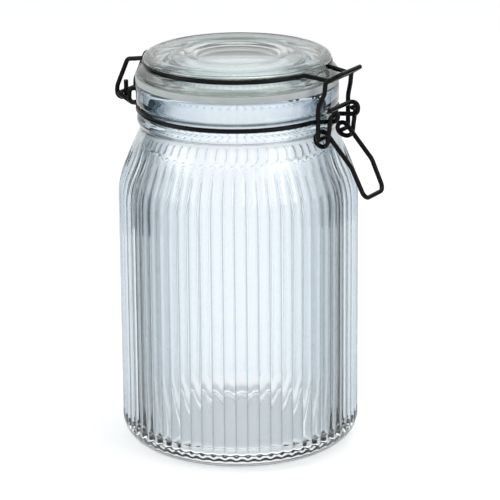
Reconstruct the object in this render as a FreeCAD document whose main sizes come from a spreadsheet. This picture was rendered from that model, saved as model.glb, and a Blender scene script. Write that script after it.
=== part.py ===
import FreeCAD, Part

import math
import os
import re

import Sketcher

# A clip-top storage jar: a ribbed glass jar, a neck wire, and a glass lid that a lid wire,
# a lever and a latch close on a rubber ring.  Millimetres, +Z up, the origin at the centre
# of the foot.  The latch is at +X, the hinge at -X, and XZ is the plane of symmetry.

doc = FreeCAD.newDocument("clip_top_jar")
Vector = FreeCAD.Vector

# ---------------------------------------------------------------- driving dimensions

SIZES = {
    # the jar's outside
    "body_diameter": 120.0,
    "heel_radius": 12.0,
    "shoulder_height": 128.0,
    "shoulder_radius": 36.0,
    "shoulder_turn": 22.3,
    "neck_rise": 34.2,
    "neck_diameter": 97.2,
    "neck_flare": 1.9,
    "neck_sweep": 7.6,
    "bead_radius": 3.4,
    "groove_depth": 0.4,
    "wire_seat_rise": 9.6,
    "wire_seat_play": 1.7,
    "collar_projection": 1.8,
    "rim_rise": 13.35,
    "rim_radius": 2.2,
    "mouth_radius": 1.1,
    # the jar's inside
    "wall": 3.5,
    "base_thickness": 6.5,
    "floor_rise": 1.0,
    "finish_wall": 5.6,
    # the ribs
    "rib_count": 65.0,
    "flute_radius": 1.5,
    "flute_depth": 0.75,
    "flute_start": 5.0,
    "flute_turn": 19.0,
    "flute_run": 14.0,
    # the rubber ring
    "seal_gap": 0.2,
    "gasket_thickness": 3.4,
    "gasket_projection": 2.0,
    "gasket_fit": 0.4,
    # the lid
    "lid_gap": 0.05,
    "flange_projection": 1.2,
    "flange_edge": 2.0,
    "knob_inset": 2.0,
    "knob_height": 10.45,
    "knob_round": 2.7,
    "knob_foot_drop": 0.5,
    "lid_seat_rise": 6.2,
    "lid_groove_depth": 1.8,
    "well_diameter": 44.0,
    "well_depth": 1.0,
    "plug_clearance": 1.6,
    "plug_taper": 1.5,
    "plug_depth": 4.4,
    "plug_wall": 5.5,
    "lid_plate": 6.0,
    # the wires
    "wire_diameter": 2.3,
    "wire_gap": 0.15,
    "bend_play": 0.1,
    "tight_bend_play": 0.35,
    "elbow_bend": 7.2,
    "grip_bend": 3.84,
    "shoulder_bend": 4.8,
    "ring_leave": 2.88,
    "pivot_reach": 11.2,
    "pivot_rise": 4.6,
    "eye_play": 0.3,
    "eye_half_width": 10.0,
    "eye_foot_drop": 3.094,
    "eye_foot_angle": 80.0,
    "eye_tip_angle": 40.0,
    "coil_play": 1.2,
    "coil_reach": 5.6,
    "coil_drop": 7.2,
    "coil_turns": 3.0,
    "coil_sweep": 105.0,
    "handle_reach": 28.6,
    "handle_drop": 34.7,
    "handle_half_width": 9.4,
    "elbow_reach": 21.6,
    "elbow_drop": 20.1,
    "latch_leg_rise": 9.0,
    "latch_waist_reach": 8.0,
    "latch_waist_drop": 7.5,
    "latch_chest_reach": 8.6,
    "latch_chest_drop": 1.8,
    "lip_reach": 15.1,
    "lip_rise": 2.2,
    "lip_half_width": 10.5,
    "nose_reach": 9.0,
    "nose_half_width": 9.7,
    "nose_drop": 1.6,
    "nose_spread": 1.5,
    "hinge_reach": 14.5,
    "hinge_rise": 1.4,
    "hook_play": 0.4,
    "hook_half_width": 8.4,
    "hook_tip_rise": 6.48,
    "shank_foot_reach": 9.4,
    "shank_foot_rise": 1.8,
    "shank_top_reach": 0.7,
    "shank_top_rise": 3.2,
    "stay_gap": 0.5,
    "stay_loop_radius": 2.4,
    "stay_loop_length": 3.0,
    "stay_loop_gap": 2.9,
}

sheet = doc.addObject("Spreadsheet::Sheet", "Sizes")
for row, (alias, value) in enumerate(SIZES.items(), start=1):
    sheet.set(f"A{row}", alias)
    sheet.set(f"B{row}", str(value))
    sheet.setAlias(f"B{row}", alias)
doc.recompute()


def bound(expression):
    """The expression with every cell named in full, as setExpression reads it."""
    return re.sub(r"[a-z_]+", lambda word: f"Sizes.{word[0]}" if word[0] in SIZES else word[0], expression)


def size(expression):
    """The number that the expression gives."""
    result = sheet.evalExpression(bound(expression))
    return float(getattr(result, "Value", result))


# ---------------------------------------------------------------- levels and radii

BODY = "body_diameter / 2"
NECK = "neck_diameter / 2"
NECK_LEVEL = "(shoulder_height + neck_rise)"
SEAT_LEVEL = f"({NECK_LEVEL} + wire_seat_rise)"
RIM_LEVEL = f"({SEAT_LEVEL} + rim_rise)"
GASKET_LEVEL = f"({RIM_LEVEL} + seal_gap)"
FLANGE_LEVEL = f"({GASKET_LEVEL} + gasket_thickness + lid_gap)"
LID_SEAT_LEVEL = f"({FLANGE_LEVEL} + lid_seat_rise)"
TOP_LEVEL = f"({FLANGE_LEVEL} + knob_height)"
MOUTH = f"({NECK} - finish_wall)"
PLUG = f"({MOUTH} - plug_clearance)"
KNOB = f"({NECK} - knob_inset)"


# ---------------------------------------------------------------- turned pieces

def origin_feature(body, role):
    return next(item for item in body.Origin.OriginFeatures if item.Role == role)


def sketch_on(body, name, role):
    sketch = body.newObject("Sketcher::SketchObject", name)
    sketch.AttachmentSupport = [(origin_feature(body, role), "")]
    sketch.MapMode = "FlatFace"
    return sketch


def bind(sketch, constraint, expression):
    index = sketch.addConstraint(constraint)
    sketch.setExpression(f"Constraints[{index}]", bound(expression))


def pin(sketch, edge, end, point):
    """Hold one end of an edge at a point given by two expressions."""
    if point[0] == "0":
        sketch.addConstraint(Sketcher.Constraint("PointOnObject", edge, end, -2))
    else:
        bind(sketch, Sketcher.Constraint("DistanceX", -1, 1, edge, end, size(point[0])), point[0])
    if point[1] == "0":
        sketch.addConstraint(Sketcher.Constraint("PointOnObject", edge, end, -1))
    else:
        bind(sketch, Sketcher.Constraint("DistanceY", -1, 1, edge, end, size(point[1])), point[1])


def arc_between(start, end, radius):
    """The short arc between two sketch points; a positive radius has its centre on the left."""
    chord = end - start
    half = chord.Length / 2
    reach = math.sqrt(max(radius * radius - half * half, 0.0))
    left = Vector(-chord.y, chord.x, 0).normalize()
    side = 1 if radius > 0 else -1
    centre = (start + end) / 2 + left * (reach * side)
    angles = [math.atan2(point.y - centre.y, point.x - centre.x) for point in (start, end)]
    if side < 0:
        angles.reverse()
    circle = Part.Circle(centre, Vector(0, 0, 1), abs(radius))
    return Part.ArcOfCircle(circle, angles[0], angles[1])


def outline(sketch, points, arcs):
    """A closed outline through the points; arcs maps an edge's number to its radius."""
    places = [Vector(size(across), size(up), 0) for across, up in points]
    for number, start in enumerate(places):
        end = places[(number + 1) % len(places)]
        radius = arcs.get(number)
        if radius is None:
            sketch.addGeometry(Part.LineSegment(start, end))
            pin(sketch, number, 1, points[number])
            continue
        sign = -1 if radius.startswith("-") else 1
        sketch.addGeometry(arc_between(start, end, sign * size(radius.lstrip("-"))))
        pin(sketch, number, 1 if sign > 0 else 2, points[number])
        bind(sketch, Sketcher.Constraint("Radius", number, size(radius.lstrip("-"))), radius.lstrip("-"))
    for number in range(len(points)):
        following = (number + 1) % len(points)
        ends = {edge: (1, 2) if arcs.get(edge, "").startswith("-") else (2, 1)
                for edge in (number, following)}
        sketch.addConstraint(
            Sketcher.Constraint("Coincident", number, ends[number][0], following, ends[following][1]))


def turned(label, points, arcs):
    """A body turned about Z from half its section."""
    body = doc.addObject("PartDesign::Body", label)
    body.Label = label
    sketch = sketch_on(body, f"{label}_section", "XZ_Plane")
    outline(sketch, points, arcs)
    turning = body.newObject("PartDesign::Revolution", f"{label}_turned")
    turning.Profile = sketch
    turning.ReferenceAxis = (sketch, ["V_Axis"])
    turning.Angle = 360.0
    doc.recompute()
    return body


def jar_glass():
    """The jar: a thick base, a straight wall, a sloping shoulder, and a threadless finish."""
    slope_top = (f"{NECK} + neck_flare", f"{NECK_LEVEL} - 2 * neck_flare")
    arc_end = (
        f"{BODY} - shoulder_radius * (1 - cos(shoulder_turn * 1 deg))",
        "shoulder_height + shoulder_radius * sin(shoulder_turn * 1 deg)",
    )
    bead_foot = (NECK, f"{NECK_LEVEL} + neck_flare")
    groove = f"{NECK} - groove_depth"
    groove_foot = (groove, f"{SEAT_LEVEL} - (wire_diameter + wire_seat_play) / 2")
    groove_top = (groove, f"{SEAT_LEVEL} + (wire_diameter + wire_seat_play) / 2")
    collar = f"{NECK} + collar_projection"
    inner = f"{BODY} - wall"
    points = [
        ("0", "0"),
        (f"{BODY} - heel_radius", "0"),
        (BODY, "heel_radius"),
        (BODY, "shoulder_height"),
        arc_end,
        slope_top,
        (NECK, NECK_LEVEL),
        bead_foot,
        (NECK, f"{groove_foot[1]} - wire_gap"),
        groove_foot,
        groove_top,
        (collar, f"{groove_top[1]} + collar_projection"),
        (collar, f"{RIM_LEVEL} - rim_radius"),
        (f"{collar} - rim_radius", RIM_LEVEL),
        (f"{MOUTH} + mouth_radius", RIM_LEVEL),
        (MOUTH, f"{RIM_LEVEL} - mouth_radius"),
        (MOUTH, f"{NECK_LEVEL} + neck_flare"),
        (f"{slope_top[0]} - wall", f"{slope_top[1]} - wall / 2"),
        (f"{arc_end[0]} - wall", f"{arc_end[1]} - wall / 4"),
        (inner, "shoulder_height"),
        (inner, "base_thickness + heel_radius - wall"),
        (f"{BODY} - heel_radius", "base_thickness"),
        ("0", "base_thickness + floor_rise"),
    ]
    arcs = {
        1: "heel_radius",
        3: "shoulder_radius",
        5: "-neck_sweep",
        7: "bead_radius",
        12: "rim_radius",
        14: "mouth_radius",
        16: "-neck_sweep",
        18: "-(shoulder_radius - wall)",
        20: "-(heel_radius - wall)",
    }
    body = turned("jar_glass", points, arcs)
    flutes(body)


def flutes(body):
    """The narrow grooves that leave the ribs standing, fading out up the shoulder."""
    path = sketch_on(body, "flute_path", "XZ_Plane")
    line = f"{BODY} + flute_radius - flute_depth"
    bend = "(shoulder_radius + flute_radius - flute_depth)"
    turn_end = (f"{line} - {bend} * (1 - cos(flute_turn * 1 deg))",
                f"shoulder_height + {bend} * sin(flute_turn * 1 deg)")
    run_end = (f"{turn_end[0]} - flute_run * sin(flute_turn * 1 deg)",
               f"{turn_end[1]} + flute_run * cos(flute_turn * 1 deg)")
    points = [(line, "flute_start"), (line, "shoulder_height"), turn_end, run_end]
    places = [Vector(size(across), size(up), 0) for across, up in points]
    path.addGeometry(Part.LineSegment(places[0], places[1]))
    path.addGeometry(arc_between(places[1], places[2], size(bend)))
    path.addGeometry(Part.LineSegment(places[2], places[3]))
    for number in range(3):
        pin(path, number, 1, points[number])
    pin(path, 2, 2, points[3])
    bind(path, Sketcher.Constraint("Radius", 1, size(bend)), bend)
    for number in range(2):
        path.addConstraint(Sketcher.Constraint("Coincident", number, 2, number + 1, 1))

    section = sketch_on(body, "flute_section", "XY_Plane")
    section.setExpression("AttachmentOffset.Base.z", bound("flute_start"))
    centre = Vector(size(line), 0, 0)
    section.addGeometry(Part.Circle(centre, Vector(0, 0, 1), size("flute_radius")))
    bind(section, Sketcher.Constraint("DistanceX", -1, 1, 0, 3, size(line)), line)
    section.addConstraint(Sketcher.Constraint("PointOnObject", 0, 3, -1))
    bind(section, Sketcher.Constraint("Radius", 0, size("flute_radius")), "flute_radius")
    doc.recompute()

    flute = body.newObject("PartDesign::SubtractivePipe", "flute")
    flute.Profile = section
    flute.Spine = (path, ["Edge1", "Edge2", "Edge3"])
    doc.recompute()
    pattern = body.newObject("PartDesign::PolarPattern", "ribs")
    pattern.Originals = [flute]
    pattern.Axis = (origin_feature(body, "Z_Axis"), [""])
    pattern.Angle = 360.0
    pattern.setExpression("Occurrences", bound("rib_count"))
    body.Tip = pattern
    doc.recompute()


def gasket():
    """The flat rubber ring, which stays on the lid's plug."""
    bore = f"{PLUG} + gasket_fit"
    edge = f"{NECK} + gasket_projection"
    top = f"{GASKET_LEVEL} + gasket_thickness"
    turned("gasket", [(bore, GASKET_LEVEL), (edge, GASKET_LEVEL), (edge, top), (bore, top)], {})


def lid_glass():
    """The lid: a flange, a plug that is hollow below, and a knob grooved for its wire."""
    flange = f"{NECK} + flange_projection"
    groove = f"{KNOB} - lid_groove_depth"
    seat = "(wire_diameter / 2 + lid_gap)"
    points = [
        ("0", f"{TOP_LEVEL} - well_depth"),
        ("0", f"{TOP_LEVEL} - lid_plate"),
        (f"{PLUG} - plug_wall - plug_taper", f"{TOP_LEVEL} - lid_plate"),
        (f"{PLUG} - plug_wall", f"{RIM_LEVEL} - plug_depth"),
        (f"{PLUG} - plug_taper", f"{RIM_LEVEL} - plug_depth"),
        (PLUG, FLANGE_LEVEL),
        (flange, FLANGE_LEVEL),
        (flange, f"{FLANGE_LEVEL} + flange_edge"),
        (KNOB, f"{LID_SEAT_LEVEL} - {seat} - knob_foot_drop"),
        (groove, f"{LID_SEAT_LEVEL} - {seat}"),
        (groove, f"{LID_SEAT_LEVEL} + {seat}"),
        (KNOB, f"{LID_SEAT_LEVEL} + {seat}"),
        (f"{KNOB} - knob_round", TOP_LEVEL),
        ("well_diameter / 2", TOP_LEVEL),
        ("well_diameter / 2 - well_depth", f"{TOP_LEVEL} - well_depth"),
    ]
    turned("lid_glass", points, {11: "knob_round"})


# ---------------------------------------------------------------- bent wires

def corner_on(centre, radius, start, stop, across):
    """Where the tangents at two angles of a circle in an XZ plane meet; angles in degrees."""
    middle = math.radians((start + stop) / 2)
    far = radius / math.cos(math.radians(stop - start) / 2)
    return Vector(centre.x + far * math.cos(middle), across, centre.z + far * math.sin(middle))


def bent(points):
    """A wire's centre line: corners rounded to their radii, each (point, radius)."""
    shortest = 0.01
    edges = []
    last = points[0][0]
    for (before, _), (corner, radius), (after, _) in zip(points, points[1:], points[2:]):
        incoming = (corner - before).normalize()
        outgoing = (after - corner).normalize()
        turn = incoming.getAngle(outgoing)
        setback = radius * math.tan(turn / 2)
        start = corner - incoming * setback
        end = corner + outgoing * setback
        inward = (outgoing - incoming).normalize()
        middle = corner + inward * (radius / math.cos(turn / 2) - radius)
        if (start - last).Length > shortest:
            edges.append(Part.makeLine(last, start))
            last = start
        edges.append(Part.Arc(last, middle, end).toShape())
        last = end
    edges.append(Part.makeLine(last, points[-1][0]))
    return Part.Wire(edges)


def wire_piece(label, points):
    """A round wire bent along the points."""
    path = doc.addObject("Part::Feature", f"{label}_path")
    path.Shape = bent(points)
    section = doc.addObject("Part::Circle", f"{label}_section")
    section.setExpression("Radius", bound("wire_diameter / 2"))
    start = path.Shape.Edges[0]
    heading = start.tangentAt(start.FirstParameter)
    section.Placement = FreeCAD.Placement(points[0][0], FreeCAD.Rotation(Vector(0, 0, 1), heading))
    piece = doc.addObject("Part::Sweep", label)
    piece.Label = label
    piece.Sections = [section]
    piece.Spine = (path, [f"Edge{number + 1}" for number in range(len(path.Shape.Edges))])
    piece.Solid = True
    piece.Frenet = False
    doc.recompute()


def mirrored(points):
    """The same corners on the other side of the XZ plane, in the opposite order."""
    return [(Vector(point.x, -point.y, point.z), radius) for point, radius in reversed(points)]


def ring_corner(radius, level, front, rear):
    """The far corner whose rounding is the near half of a ring, between two half widths."""
    front_angle = -math.asin(front / radius)
    rear_angle = -math.pi + math.asin(rear / radius)
    middle = (front_angle + rear_angle) / 2
    far = radius / math.cos((front_angle - rear_angle) / 2)
    return Vector(far * math.cos(middle), far * math.sin(middle), level)


def ring_exit(radius, level, leaves, half_width, side):
    """On the tangent where a ring is left at one half width, the point at another."""
    angle = -math.asin(leaves / radius)
    along = (leaves - half_width) / math.cos(angle)
    return Vector(side * (radius * math.cos(angle) - along * math.sin(angle)), -half_width, level)


WIRE = size("wire_diameter")
PITCH = WIRE + size("wire_gap")
BEND = size("wire_diameter + bend_play")
TIGHT = size("wire_diameter / 2 + tight_bend_play")
PIVOT = Vector(size(f"{NECK} + pivot_reach"), 0, size(f"{SEAT_LEVEL} + pivot_rise"))
COIL = Vector(size(f"{NECK} + coil_reach"), 0, size(f"{SEAT_LEVEL} - coil_drop"))
HINGE = Vector(-size(f"{NECK} + hinge_reach"), 0, size(f"{SEAT_LEVEL} + hinge_rise"))
EYE_WIDTH = size("eye_half_width")
LINK_WIDTH = EYE_WIDTH + PITCH
LEG_WIDTH = LINK_WIDTH + PITCH
COIL_RADIUS = size("wire_diameter + coil_play")
LEAVE = size("ring_leave")
# A rounding a little under its full radius, which leaves a short straight on each side.
NEARLY = 0.95


def at(x, y, z, radius=None):
    return (Vector(x, y, z), BEND if radius is None else radius)


def neck_ring():
    """The neck wire: two front eyes for the lever's pins, and at the rear the hinge bar."""
    radius = size(f"{NECK} - groove_depth + wire_diameter / 2 + lid_gap")
    level = size(SEAT_LEVEL)
    eye = size("wire_diameter + eye_play")
    front_leaves = EYE_WIDTH + LEAVE
    stay = size("hook_half_width + wire_diameter + stay_gap")
    rear_leaves = stay + PITCH + LEAVE
    lead = ring_exit(radius, level, front_leaves, EYE_WIDTH, 1)
    foot = ring_exit(radius, level, rear_leaves, stay + PITCH, -1)
    loop = size("stay_loop_radius")
    rise = size("stay_loop_length") / 2
    middle = foot.x - loop - size("stay_loop_gap")
    low = level + size("hinge_rise") - rise - loop
    high = low + 2 * (rise + loop)
    upward = stay + PITCH * 0.8
    downward = stay + PITCH * 0.2

    near_half = [
        (lead, TIGHT),
        (ring_corner(radius, level, front_leaves, rear_leaves), radius),
        (foot, TIGHT),
        at(middle - loop, -stay - PITCH, low, loop * NEARLY),
        at(middle - loop, -upward, high, loop * NEARLY),
        at(middle + loop, -downward, high, loop * NEARLY),
        at(middle + loop, -stay, low, loop * NEARLY),
        at(middle - loop, -stay, low, TIGHT),
        at(HINGE.x, -stay, HINGE.z, TIGHT),
    ]
    tip_angle = size("eye_tip_angle")
    tip_turn = FreeCAD.Rotation(Vector(0, -1, 0), tip_angle)
    tip = PIVOT + tip_turn.multVec(Vector(eye, -EYE_WIDTH, WIRE / 2))
    near_eye = [
        (tip, 0),
        (corner_on(PIVOT, eye, -size("eye_foot_angle"), tip_angle, -EYE_WIDTH), eye),
    ]
    bar_level = PIVOT.z + eye
    bar = PIVOT.x - TIGHT
    far_eye = [
        at(PIVOT.x + eye, EYE_WIDTH, PIVOT.z - size("eye_foot_drop"), eye),
        at(PIVOT.x + eye, EYE_WIDTH, bar_level, eye * NEARLY),
        at(bar, EYE_WIDTH, bar_level, TIGHT),
        at(bar, -EYE_WIDTH - WIRE / 2, bar_level, 0),
    ]
    wire_piece("neck_ring", near_eye + near_half + mirrored(near_half) + far_eye)


def lever():
    """The lever: a handle whose sides coil round the latch's pins and end in pivot pins."""
    side = [
        at(PIVOT.x, -EYE_WIDTH + WIRE / 2, PIVOT.z, 0),
        at(PIVOT.x, -LINK_WIDTH, PIVOT.z, BEND / 2),
    ]
    turns = int(size("coil_turns"))
    sweep = -size("coil_sweep")
    for turn in range(turns):
        width = LINK_WIDTH - PITCH * turn / (turns - 1)
        corner = corner_on(COIL, COIL_RADIUS, turn * sweep, (turn + 1) * sweep, -width)
        side.append((corner, COIL_RADIUS * 0.99))
    elbow = size(f"{NECK} + elbow_reach")
    grip = size(f"{NECK} + handle_reach")
    side += [
        at(elbow, -EYE_WIDTH, size(f"{SEAT_LEVEL} - elbow_drop"), size("elbow_bend")),
        at(grip, -size("handle_half_width"), size(f"{SEAT_LEVEL} - handle_drop"), size("grip_bend")),
    ]
    wire_piece("lever", side + mirrored(side))


def latch():
    """The latch: a bail whose pins turn in the lever's coils and whose lip meets the nose."""
    lip = size("lip_half_width")
    chest = size(f"{NECK} + latch_chest_reach")
    waist = size(f"{NECK} + latch_waist_reach")
    side = [
        at(COIL.x, -EYE_WIDTH + WIRE / 2, COIL.z, 0),
        at(COIL.x, -LEG_WIDTH, COIL.z, BEND / 2),
        at(COIL.x, -LEG_WIDTH, size(f"{SEAT_LEVEL} + latch_leg_rise"), size("elbow_bend")),
        at(waist, -lip - WIRE, size(f"{LID_SEAT_LEVEL} - latch_waist_drop"), size("shoulder_bend")),
        at(chest, -lip - WIRE, size(f"{LID_SEAT_LEVEL} - latch_chest_drop")),
        at(size(f"{NECK} + lip_reach"), -lip, size(f"{LID_SEAT_LEVEL} + lip_rise")),
    ]
    wire_piece("latch", side + mirrored(side))


def lid_wire():
    """The lid wire: a ring under the knob's edge, a nose in front and two hooks behind."""
    radius = size(f"{KNOB} - lid_groove_depth + wire_diameter / 2 + lid_gap")
    level = size(LID_SEAT_LEVEL)
    nose = size("nose_half_width")
    nose_root = size("nose_half_width + nose_spread")
    hook_width = size("hook_half_width")
    hook = size("wire_diameter + hook_play")
    flange = size(f"{NECK} + flange_projection")
    shank_foot = -flange - size("shank_foot_reach")
    shank_top = -flange - size("shank_top_reach")
    side = [
        at(HINGE.x + hook, -hook_width, HINGE.z + size("hook_tip_rise"), 0),
        at(HINGE.x + hook, -hook_width, HINGE.z - hook, hook * NEARLY),
        at(HINGE.x - hook, -hook_width, HINGE.z - hook, hook * NEARLY),
        at(HINGE.x - hook, -hook_width, HINGE.z + hook, size("elbow_bend")),
        at(shank_foot, -hook_width, size(f"{FLANGE_LEVEL} + shank_foot_rise")),
        at(shank_top, -hook_width, size(f"{FLANGE_LEVEL} + shank_top_rise")),
        (ring_exit(radius, level, hook_width + LEAVE, hook_width, -1), BEND / 2),
        (ring_corner(radius, level, nose_root + LEAVE, hook_width + LEAVE), radius),
        (ring_exit(radius, level, nose_root + LEAVE, nose_root, 1), BEND / 2),
        at(size(f"{NECK} + nose_reach"), -nose, level - size("nose_drop"), TIGHT),
    ]
    wire_piece("lid_wire", side + mirrored(side))


# ---------------------------------------------------------------- build and write

PIECES = [jar_glass, neck_ring, lid_glass, gasket, lid_wire, lever, latch]
for piece in PIECES:
    piece()
doc.recompute()

os.makedirs("parts", exist_ok=True)
for name in [piece.__name__ for piece in PIECES]:
    shape = doc.getObjectsByLabel(name)[0].Shape
    if shape.isNull() or not shape.isValid():
        raise RuntimeError(f"{name} has no valid shape")
    shape.exportStep(f"parts/{name}.step")
broken = [item.Label for item in doc.Objects if {"Invalid", "Error"} & set(item.State)]
if broken:
    raise RuntimeError(f"not rebuilt: {broken}")
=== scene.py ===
import math

import bmesh
import bpy
from mathutils import Matrix, Vector


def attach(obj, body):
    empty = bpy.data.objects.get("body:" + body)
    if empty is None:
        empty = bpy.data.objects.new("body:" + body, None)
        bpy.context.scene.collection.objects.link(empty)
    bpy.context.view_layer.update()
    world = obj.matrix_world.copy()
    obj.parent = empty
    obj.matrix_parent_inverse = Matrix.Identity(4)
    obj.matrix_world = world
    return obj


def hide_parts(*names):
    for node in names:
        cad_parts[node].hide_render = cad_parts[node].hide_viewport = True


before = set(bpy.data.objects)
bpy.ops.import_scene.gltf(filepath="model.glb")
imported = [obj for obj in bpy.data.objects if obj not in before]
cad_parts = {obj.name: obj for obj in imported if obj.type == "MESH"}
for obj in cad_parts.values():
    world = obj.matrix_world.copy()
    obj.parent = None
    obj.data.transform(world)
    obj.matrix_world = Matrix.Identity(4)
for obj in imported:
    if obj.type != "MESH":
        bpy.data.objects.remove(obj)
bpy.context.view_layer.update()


# ---------------------------------------------------------------- jar
# The jar is blown soda-lime glass: a thick base, sixty-five ribs down the wall that run out on
# the shoulder, a bead, the seat of the neck wire, and a smooth collar under the lid.

MM = 0.001
BODY_RADIUS = 59.95 * MM
HEEL = 12 * MM
SHOULDER_LEVEL = 128 * MM
RIBS = 65
RIB_DEPTH = 0.85 * MM
STEPS_PER_RIB = 12


def arc(centre, radius, start, stop, steps):
    """Points along an arc of an outline, (radius, height), angles in degrees."""
    angles = [math.radians(start + (stop - start) * step / steps) for step in range(steps + 1)]
    return [(centre[0] + radius * math.cos(a), centre[1] + radius * math.sin(a)) for a in angles]


def run(start, end, steps):
    """Points along a straight stretch of an outline, both ends left out."""
    return [
        (start[0] + (end[0] - start[0]) * step / steps, start[1] + (end[1] - start[1]) * step / steps)
        for step in range(1, steps)
    ]


def in_mm(points):
    return [(across * MM, up * MM) for across, up in points]


def turned(outline, steps):
    """A closed shell spun about Z from an outline that starts and ends on the axis or closes on itself."""
    mesh = bmesh.new()
    verts = [mesh.verts.new((across, 0, up)) for across, up in outline]
    edges = [mesh.edges.new(pair) for pair in zip(verts, verts[1:])]
    if outline[0][0] > 0:
        edges.append(mesh.edges.new((verts[-1], verts[0])))
    bmesh.ops.spin(mesh, geom=verts + edges, cent=(0, 0, 0), axis=(0, 0, 1), angle=math.tau,
                   steps=steps, use_merge=True)
    bmesh.ops.remove_doubles(mesh, verts=mesh.verts, dist=1e-6)
    bmesh.ops.recalc_face_normals(mesh, faces=mesh.faces)
    for face in mesh.faces:
        face.smooth = True
    return mesh


def as_piece(name, mesh, material, body, node):
    """The finished mesh as a piece that rides on its body and stands for its node."""
    data = bpy.data.meshes.new(name)
    mesh.to_mesh(data)
    mesh.free()
    data.materials.append(material)
    piece = bpy.data.objects.new(name, data)
    bpy.context.collection.objects.link(piece)
    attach(piece, body)
    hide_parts(node)
    return piece


def ease(low, high, value):
    """0 below low, 1 above high, and a smooth rise between."""
    share = min(max((value - low) / (high - low), 0.0), 1.0)
    return share * share * (3 - 2 * share)


def new_material(name):
    material = bpy.data.materials.new(name)
    material.use_nodes = True
    return material, material.node_tree.nodes, material.node_tree.links


def ramp(nodes, stops):
    """A colour ramp through (position, colour) stops."""
    node = nodes.new("ShaderNodeValToRGB")
    node.color_ramp.elements[0].position = stops[0][0]
    node.color_ramp.elements[0].color = (*stops[0][1], 1)
    node.color_ramp.elements[1].position = stops[-1][0]
    node.color_ramp.elements[1].color = (*stops[-1][1], 1)
    for position, colour in stops[1:-1]:
        node.color_ramp.elements.new(position).color = (*colour, 1)
    return node


def clear_glass(name, stops, roughness):
    """Clear glass with light and shade painted into its colour by how edge on it is seen, through the given
    stops, and a faint ripple.
    """
    material, nodes, links = new_material(name)
    shader = nodes["Principled BSDF"]
    shader.inputs["Transmission Weight"].default_value = 1.0
    shader.inputs["IOR"].default_value = 1.5
    shader.inputs["Roughness"].default_value = roughness
    weight = nodes.new("ShaderNodeLayerWeight")
    weight.inputs["Blend"].default_value = 0.5
    colours = ramp(nodes, stops)
    links.new(weight.outputs["Facing"], colours.inputs["Fac"])
    links.new(colours.outputs["Color"], shader.inputs["Base Color"])
    place = nodes.new("ShaderNodeTexCoord")
    noise = nodes.new("ShaderNodeTexNoise")
    noise.inputs["Scale"].default_value = 55.0
    noise.inputs["Detail"].default_value = 1.0
    bump = nodes.new("ShaderNodeBump")
    bump.inputs["Distance"].default_value = 0.00004
    bump.inputs["Strength"].default_value = 1.0
    links.new(place.outputs["Object"], noise.inputs["Vector"])
    links.new(noise.outputs["Fac"], bump.inputs["Height"])
    links.new(bump.outputs["Normal"], shader.inputs["Normal"])
    return material


def jar_outline():
    """The outside from the foot up, the rim, and the inside down to the floor."""
    outside = in_mm([(0, 0.6), (30, 0.6), (42, 0.5)])
    outside += in_mm([(45, 0.0), (48, 0.0)])
    outside += arc((BODY_RADIUS - HEEL, HEEL), HEEL, -84, 0, 14)
    wall_foot = (BODY_RADIUS, HEEL)
    wall_top = (BODY_RADIUS, SHOULDER_LEVEL)
    outside += run(wall_foot, wall_top, 12) + [wall_top]
    bend = 36 * MM
    outside += arc((BODY_RADIUS - bend, SHOULDER_LEVEL), bend, 3, 22.3, 6)
    slope_foot = outside[-1]
    slope_top = (50.6 * MM, 157.6 * MM)
    outside += run(slope_foot, slope_top, 9) + [slope_top]
    outside += in_mm([(49.7, 159.6), (49.0, 161.2), (48.65, 162.6), (48.62, 163.9)])
    outside += in_mm([(49.0, 164.6), (49.6, 165.3), (50.0, 166.3), (50.0, 167.2), (49.5, 168.2),
                      (48.7, 168.9), (48.25, 169.6)])
    outside += in_mm([(48.2, 170.4), (48.2, 173.3), (48.45, 173.9), (49.3, 174.7), (50.1, 175.3),
                      (50.35, 176.2)])
    outside += run((50.35 * MM, 176.2 * MM), (50.35 * MM, 181.5 * MM), 3)
    outside += in_mm([(50.35, 181.5)]) + arc((48.0 * MM, 182.75 * MM), 2.35 * MM, 10, 90, 6)
    inside = in_mm([(45, 185.1)]) + arc((44.2 * MM, 184.0 * MM), 1.1 * MM, 90, 180, 4)
    inside += run((43.1 * MM, 184.0 * MM), (43.1 * MM, 166.0 * MM), 4)
    inside += in_mm([(43.1, 166.0), (43.3, 163.6), (44.2, 160.6), (45.7, 157.6), (47.2, 155.0)])
    inside += run((47.2 * MM, 155.0 * MM), (53.9 * MM, 140.4 * MM), 6)
    inner_bend = 32.5 * MM
    inner_wall = 56.4 * MM
    inside += arc((inner_wall - inner_bend, SHOULDER_LEVEL), inner_bend, 20, 0, 6)
    inside += run((inner_wall, SHOULDER_LEVEL), (inner_wall, 16 * MM), 8)
    inside += arc((inner_wall - 8.5 * MM, 15.6 * MM), 8.5 * MM, 0, -88, 10)
    inside += in_mm([(44, 6.9), (36, 6.7), (22, 7.0), (10, 7.3), (0, 7.4)])
    return outside + inside, len(outside)


FULL_RIBS = (12 * MM, 147 * MM)
SMOOTH = (4 * MM, 157 * MM)


def rib_fade(height):
    """1 where the ribs stand in full, 0 where the glass is smooth."""
    return ease(SMOOTH[0], FULL_RIBS[0], height) * (1 - ease(FULL_RIBS[1], SMOOTH[1], height))


def from_crest(angle):
    """0 on a rib's crest and 1 half way to the next."""
    return abs(2 * ((angle / math.tau * RIBS) % 1.0) - 1)


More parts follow.
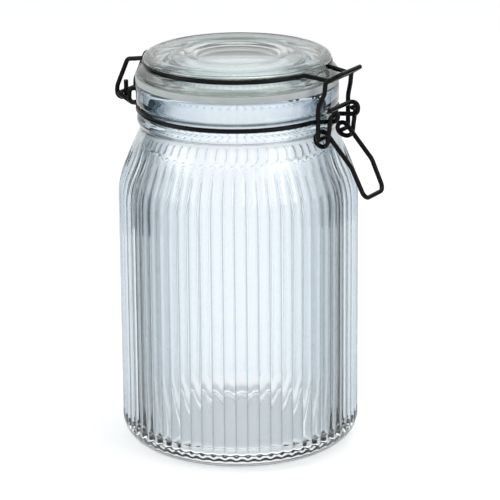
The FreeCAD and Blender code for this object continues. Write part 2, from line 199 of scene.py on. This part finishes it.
def shade_ribs(material):
    """Raises the glass tint to a per-vertex power, painting it lighter at the base and heel and deepening it
    on the neck, and paints shade as a cold line at the foot of each rib.
    """
    nodes = material.node_tree.nodes
    links = material.node_tree.links
    shader = nodes["Principled BSDF"]
    tint = shader.inputs["Base Color"].links[0].from_socket
    depth_and_light_share = nodes.new("ShaderNodeAttribute")
    depth_and_light_share.attribute_name = "tint_depth_and_painted_light"
    deepened = nodes.new("ShaderNodeGamma")
    tint_and_valley_share = nodes.new("ShaderNodeAttribute")
    tint_and_valley_share.attribute_name = "rib_tint_and_valley_shade"
    shade = ramp(nodes, [(0.0, (1, 1, 1)), (0.3, (0.865, 0.898, 0.925)), (0.82, (0.80, 0.84, 0.868)),
                         (1.0, (0.20, 0.26, 0.285))])
    both = nodes.new("ShaderNodeMix")
    both.data_type = "RGBA"
    both.blend_type = "MULTIPLY"
    both.inputs["Factor"].default_value = 1.0
    links.new(tint, deepened.inputs["Color"])
    links.new(depth_and_light_share.outputs["Fac"], deepened.inputs["Gamma"])
    links.new(tint_and_valley_share.outputs["Fac"], shade.inputs["Fac"])
    links.new(deepened.outputs["Color"], both.inputs[6])
    links.new(shade.outputs["Color"], both.inputs[7])
    links.new(both.outputs[2], shader.inputs["Base Color"])


outline, outside_count = jar_outline()
jar = turned(outline, RIBS * STEPS_PER_RIB)
outer_radius = {round(up / MM, 3): across for across, up in outline[:outside_count]}
rib_tint_and_valley_shade = jar.verts.layers.float.new("rib_tint_and_valley_shade")
tint_depth_and_painted_light = jar.verts.layers.float.new("tint_depth_and_painted_light")
for vert in jar.verts:
    radius = math.hypot(vert.co.x, vert.co.y)
    height = vert.co.z
    # Painted light: the tint is lightened at the base and heel, where the floor's shadow under the jar shows
    # through, and deepened on the neck.
    vert[tint_depth_and_painted_light] = 0.45 + 0.55 * ease(8 * MM, 18 * MM, height) + 1.0 * ease(160 * MM, 168 * MM, height)
    # The neck takes the same cool tint as the rib crests.
    vert[rib_tint_and_valley_shade] = 0.3 * ease(168 * MM, 174 * MM, height)
    if radius < 46 * MM or height > 160 * MM:
        continue
    if abs(outer_radius.get(round(height / MM, 3), 0.0) - radius) > 0.05 * MM:
        continue
    valley = from_crest(math.atan2(vert.co.y, vert.co.x)) ** 1.7
    fade = rib_fade(height)
    # Painted shade: the tint darkens to a cold line in each valley between ribs, and the crest tint fades up
    # the shoulder, painting it lighter.
    crest = 0.3 * (1 - 0.8 * ease(122 * MM, 148 * MM, height))
    vert[rib_tint_and_valley_shade] = fade * (crest + (1 - crest) * valley)
    cut = RIB_DEPTH * fade * valley
    vert.co.x *= 1 - cut / radius
    vert.co.y *= 1 - cut / radius
# Painted shade: the jar's tint darkens to blue-grey the more edge on the wall is seen.
jar_tints_with_painted_shade = [(0.0, (0.985, 0.992, 0.996)), (0.1, (0.95, 0.97, 0.98)), (0.2, (0.86, 0.89, 0.91)),
             (0.4, (0.72, 0.765, 0.80)), (0.63, (0.32, 0.375, 0.405)), (1.0, (0.18, 0.23, 0.255))]
jar_finish = clear_glass("jar_clear_glass", jar_tints_with_painted_shade, 0.0)
shade_ribs(jar_finish)
as_piece("jar_glass_skin", jar, jar_finish, "root", "jar_glass")


# ---------------------------------------------------------------- lid
# The lid is pressed glass: a plug that drops into the mouth, a flange over the rubber ring,
# and a flat knob, grooved at its foot for the lid wire, with a shallow round well on top.

def lid_outline():
    """The well, the flat top, the rounded knob and its wire groove, the shoulder and the hollow plug."""
    top = 199.25
    points = [(0, top - 1.0), (19.6, top - 1.0), (20.6, top - 0.85), (21.6, top - 0.2), (22.4, top),
              (25.6, top), (26.0, top - 0.2), (26.4, top), (40.9, top), (41.4, top - 0.25), (41.9, top),
              (42.6, top)]
    points += [(42.6 + 3.95 * math.sin(math.radians(a)), top - 2.75 + 2.75 * math.cos(math.radians(a)))
               for a in range(12, 91, 13)]
    points += [(46.5, 196.35), (46.1, 196.22), (44.85, 196.2), (44.85, 193.9), (46.0, 193.85), (46.6, 193.45)]
    points += [(47.6, 192.75), (48.6, 191.95), (49.4, 191.2), (49.75, 190.5), (49.75, 189.4), (49.4, 188.9)]
    points += [(48.6, 188.85), (42.4, 188.85), (41.5, 188.5), (41.3, 187.6)]
    points += [(39.9, 182.2), (39.4, 181.1), (38.4, 180.8), (36.6, 180.8), (35.8, 181.2), (35.4, 182.2)]
    points += [(34.0, 191.2), (33.2, 192.6), (31.6, 193.2), (0, 193.3)]
    return in_mm(points)


lid = turned(lid_outline(), 192)
# Painted light and shade: the lid's tint is lighter where it is seen at a slant, as the flat top is, and
# darker where it is seen edge on.
lid_tints_with_painted_light = [(0.0, (0.68, 0.74, 0.71)), (0.3, (0.66, 0.72, 0.695)), (0.7, (0.84, 0.88, 0.865)),
             (1.0, (0.45, 0.52, 0.51))]
lid_finish = clear_glass("lid_clear_glass", lid_tints_with_painted_light, 0.1)
as_piece("lid_glass_skin", lid, lid_finish, "lid", "lid_glass")


# ---------------------------------------------------------------- rubber ring
# The ring is moulded grey-green rubber, flat and matte, with soft edges and a faint bloom.

def rubber():
    material, nodes, links = new_material("seal_rubber")
    shader = nodes["Principled BSDF"]
    shader.inputs["Roughness"].default_value = 0.62
    place = nodes.new("ShaderNodeTexCoord")
    noise = nodes.new("ShaderNodeTexNoise")
    noise.inputs["Scale"].default_value = 140.0
    noise.inputs["Detail"].default_value = 4.0
    colours = ramp(nodes, [(0.3, (0.58, 0.625, 0.60)), (0.7, (0.65, 0.69, 0.665))])
    bump = nodes.new("ShaderNodeBump")
    bump.inputs["Distance"].default_value = 0.00005
    links.new(place.outputs["Object"], noise.inputs["Vector"])
    links.new(noise.outputs["Fac"], colours.inputs["Fac"])
    links.new(colours.outputs["Color"], shader.inputs["Base Color"])
    links.new(noise.outputs["Fac"], bump.inputs["Height"])
    links.new(bump.outputs["Normal"], shader.inputs["Normal"])
    return material


gasket_outline = in_mm([(42.0, 185.4), (50.0, 185.4), (50.4, 185.6), (50.55, 186.1), (50.55, 188.1),
                        (50.4, 188.6), (50.0, 188.75), (42.0, 188.75), (41.8, 188.5), (41.8, 185.6)])
gasket = turned(gasket_outline, 160)
as_piece("gasket_skin", gasket, rubber(), "lid", "gasket")


# ---------------------------------------------------------------- wires
# The closure is bent from one gauge of steel wire with a baked black coat: the neck wire,
# the lid wire, the lever and the latch.

def black_coat():
    material, nodes, links = new_material("black_wire_coat")
    shader = nodes["Principled BSDF"]
    shader.inputs["Roughness"].default_value = 0.22
    shader.inputs["Specular IOR Level"].default_value = 0.12
    place = nodes.new("ShaderNodeTexCoord")
    noise = nodes.new("ShaderNodeTexNoise")
    noise.inputs["Scale"].default_value = 400.0
    noise.inputs["Detail"].default_value = 3.0
    colours = ramp(nodes, [(0.3, (0.001, 0.001, 0.0012)), (0.75, (0.004, 0.004, 0.0045))])
    bump = nodes.new("ShaderNodeBump")
    bump.inputs["Distance"].default_value = 0.00002
    links.new(place.outputs["Object"], noise.inputs["Vector"])
    links.new(noise.outputs["Fac"], colours.inputs["Fac"])
    links.new(colours.outputs["Color"], shader.inputs["Base Color"])
    links.new(noise.outputs["Fac"], bump.inputs["Height"])
    links.new(bump.outputs["Normal"], shader.inputs["Normal"])
    return material


coat = black_coat()
for name in ("neck_ring", "lid_wire", "lever", "latch"):
    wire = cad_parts[name]
    for place in wire.material_slots:
        place.material = coat


# ---------------------------------------------------------------- floor, light and camera
# A white table and backdrop, a broad lamp on each side and one above, a dark card on each
# side, and a long lens.

def white_surround():
    """A world that is white where it is seen, directly or in glass and gloss, and softer as light."""
    world = bpy.data.worlds.new("surround")
    bpy.context.scene.world = world
    world.use_nodes = True
    nodes = world.node_tree.nodes
    links = world.node_tree.links
    path = nodes.new("ShaderNodeLightPath")
    seen = nodes.new("ShaderNodeMath")
    seen.operation = "MAXIMUM"
    through = nodes.new("ShaderNodeMath")
    through.operation = "MAXIMUM"
    links.new(path.outputs["Is Camera Ray"], seen.inputs[0])
    links.new(path.outputs["Is Glossy Ray"], seen.inputs[1])
    links.new(seen.outputs[0], through.inputs[0])
    links.new(path.outputs["Is Transmission Ray"], through.inputs[1])
    light = nodes["Background"]
    light.inputs["Color"].default_value = (0.9, 0.95, 1.0, 1)
    light.inputs["Strength"].default_value = 0.4
    shown = nodes.new("ShaderNodeBackground")
    shown.inputs["Color"].default_value = (1, 1, 1, 1)
    shown.inputs["Strength"].default_value = 1.0
    mix = nodes.new("ShaderNodeMixShader")
    links.new(through.outputs[0], mix.inputs["Fac"])
    links.new(light.outputs[0], mix.inputs[1])
    links.new(shown.outputs[0], mix.inputs[2])
    links.new(mix.outputs[0], nodes["World Output"].inputs["Surface"])


def table():
    """A pale floor that glows where it is seen, but keeps the jar's shadow."""
    mesh = bmesh.new()
    bmesh.ops.create_grid(mesh, x_segments=1, y_segments=1, size=6.0)
    data = bpy.data.meshes.new("table")
    mesh.to_mesh(data)
    mesh.free()
    floor = bpy.data.objects.new("table", data)
    bpy.context.collection.objects.link(floor)
    material, nodes, links = new_material("table_white")
    shader = nodes["Principled BSDF"]
    shader.inputs["Base Color"].default_value = (0.9, 0.9, 0.9, 1)
    shader.inputs["Roughness"].default_value = 0.9
    shader.inputs["Emission Color"].default_value = (1, 1, 1, 1)
    path = nodes.new("ShaderNodeLightPath")
    seen = nodes.new("ShaderNodeMath")
    seen.operation = "MAXIMUM"
    through = nodes.new("ShaderNodeMath")
    through.operation = "MAXIMUM"
    strength = nodes.new("ShaderNodeMath")
    strength.operation = "MULTIPLY"
    strength.inputs[1].default_value = 0.5
    links.new(path.outputs["Is Camera Ray"], seen.inputs[0])
    links.new(path.outputs["Is Glossy Ray"], seen.inputs[1])
    links.new(seen.outputs[0], through.inputs[0])
    links.new(path.outputs["Is Transmission Ray"], through.inputs[1])
    links.new(through.outputs[0], strength.inputs[0])
    links.new(strength.outputs[0], shader.inputs["Emission Strength"])
    data.materials.append(material)


def dark_card(name, place):
    """A dark card beside the jar, seen only through glass and in gloss, that makes grey streaks."""
    mesh = bmesh.new()
    bmesh.ops.create_grid(mesh, x_segments=1, y_segments=1, size=CARD_HALF)
    data = bpy.data.meshes.new(name)
    mesh.to_mesh(data)
    mesh.free()
    card = bpy.data.objects.new(name, data)
    bpy.context.collection.objects.link(card)
    card.location = place
    card.rotation_euler = (Vector((0, 0, place[2])) - Vector(place)).to_track_quat("Z", "Y").to_euler()
    material, nodes, _ = new_material(name)
    shader = nodes["Principled BSDF"]
    shader.inputs["Base Color"].default_value = (0, 0, 0, 1)
    shader.inputs["Specular IOR Level"].default_value = 0.0
    shader.inputs["Emission Color"].default_value = (0.055, 0.075, 0.085, 1)
    shader.inputs["Emission Strength"].default_value = 1.0
    data.materials.append(material)
    card.visible_camera = False
    card.visible_shadow = False
    card.visible_diffuse = False


def lamp(name, place, aim, width, power):
    data = bpy.data.lights.new(name, "AREA")
    data.shape = "SQUARE"
    data.size = width
    data.energy = power
    light = bpy.data.objects.new(name, data)
    bpy.context.collection.objects.link(light)
    light.location = place
    light.rotation_euler = (Vector(aim) - Vector(place)).to_track_quat("-Z", "Y").to_euler()


def long_lens(azimuth, elevation, distance, aim_right, aim_up, roll, lens):
    """The camera on its sight line, turned by a slight roll."""
    az = math.radians(azimuth)
    el = math.radians(elevation)
    back = Vector((math.sin(az) * math.cos(el), -math.cos(az) * math.cos(el), math.sin(el)))
    right = Vector((math.cos(az), math.sin(az), 0))
    up = back.cross(right)
    aim = right * aim_right + Vector((0, 0, aim_up))
    turn = math.radians(roll)
    x_axis = right * math.cos(turn) - up * math.sin(turn)
    y_axis = right * math.sin(turn) + up * math.cos(turn)
    matrix = Matrix((x_axis, y_axis, back)).transposed().to_4x4()
    matrix.translation = aim + back * distance
    data = bpy.data.cameras.new("camera")
    data.lens = lens
    data.sensor_width = 36
    camera = bpy.data.objects.new("camera", data)
    camera.matrix_world = matrix
    bpy.context.collection.objects.link(camera)
    bpy.context.scene.camera = camera


white_surround()
table()
CARD_HALF = 0.16
dark_card("left_card", (-0.40, -0.10, 0.14))
dark_card("right_card", (0.30, 0.32, 0.14))
lamp("left_lamp", (-0.9, -0.9, 0.7), (0, 0, 0.1), 0.8, 4.5)
lamp("right_lamp", (1.1, -0.2, 0.6), (0, 0, 0.1), 0.6, 3)
lamp("top_lamp", (0.1, 0.2, 1.3), (0, 0, 0.1), 0.8, 4)
long_lens(31, 17.33, 1.4245, 0.00552, 0.09694, 0.47, 203.8)
bpy.context.scene.view_settings.view_transform = "Standard"
